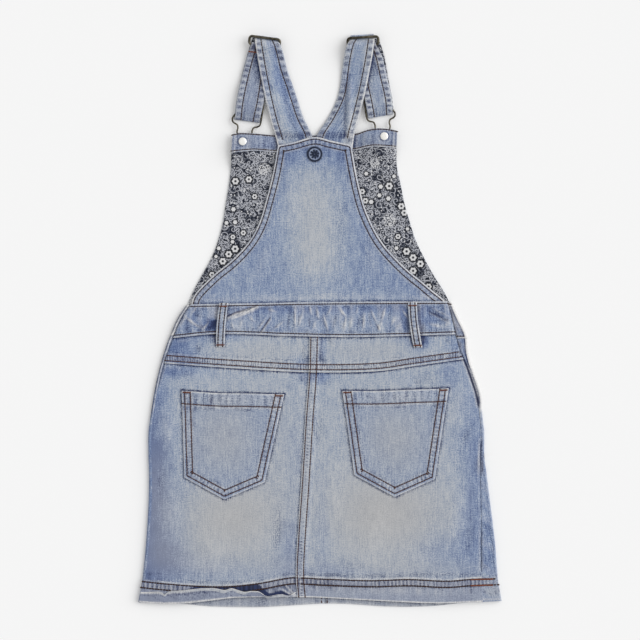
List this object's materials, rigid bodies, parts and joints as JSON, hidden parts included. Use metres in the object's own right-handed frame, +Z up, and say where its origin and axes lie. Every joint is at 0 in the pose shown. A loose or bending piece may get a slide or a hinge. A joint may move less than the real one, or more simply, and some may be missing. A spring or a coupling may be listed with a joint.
{
  "type": "denim pinafore dress",
  "caption": "Child's denim pinafore dress with dungaree straps, clips and back pockets, printed bib lining, laid flat on its front.",
  "frame": {"origin": "centre of the dress's footprint, on the surface it lies on", "axes": "+Y from the hem to the shoulder straps, +X to the wearer's right, +Z up from the surface, out of the dress's back"},
  "size_m": [0.3999, 0.6296, 0.0096],
  "materials": {
    "denim": "light-wash cotton denim, faded along the middles, abraded pale on its seam edges",
    "print": "plain-woven cotton printed with small pale flowers and sprigs on a dark ground",
    "badge": "round embroidered badge, dark thread on a pale ground",
    "bronze": "antique brass-plated steel wire",
    "nickel": "bright nickel-plated tack backs"
  },
  "bodies": {
    "root": {"front_skirt_left": "denim", "front_skirt_right": "denim", "front_waistband": "denim", "front_bib": "denim", "bib_facing": "denim", "bib_lining": "print", "back_bib": "denim", "badge": "badge", "back_waistband": "denim", "yoke_left": "denim", "yoke_right": "denim", "back_skirt_left": "denim", "back_skirt_right": "denim", "back_pocket_left": "denim", "back_pocket_right": "denim", "belt_loop_left": "denim", "belt_loop_right": "denim", "strap_back_left": "denim", "strap_back_right": "denim", "strap_front_left": "denim", "strap_front_right": "denim", "strap_lining_left": "print", "strap_lining_right": "print", "strap_ring_left": "bronze", "strap_ring_right": "bronze", "clip_left": "bronze", "clip_right": "bronze", "button_left": "bronze", "button_right": "bronze", "tack_left": "nickel", "tack_right": "nickel"}
  },
  "joints": []
}
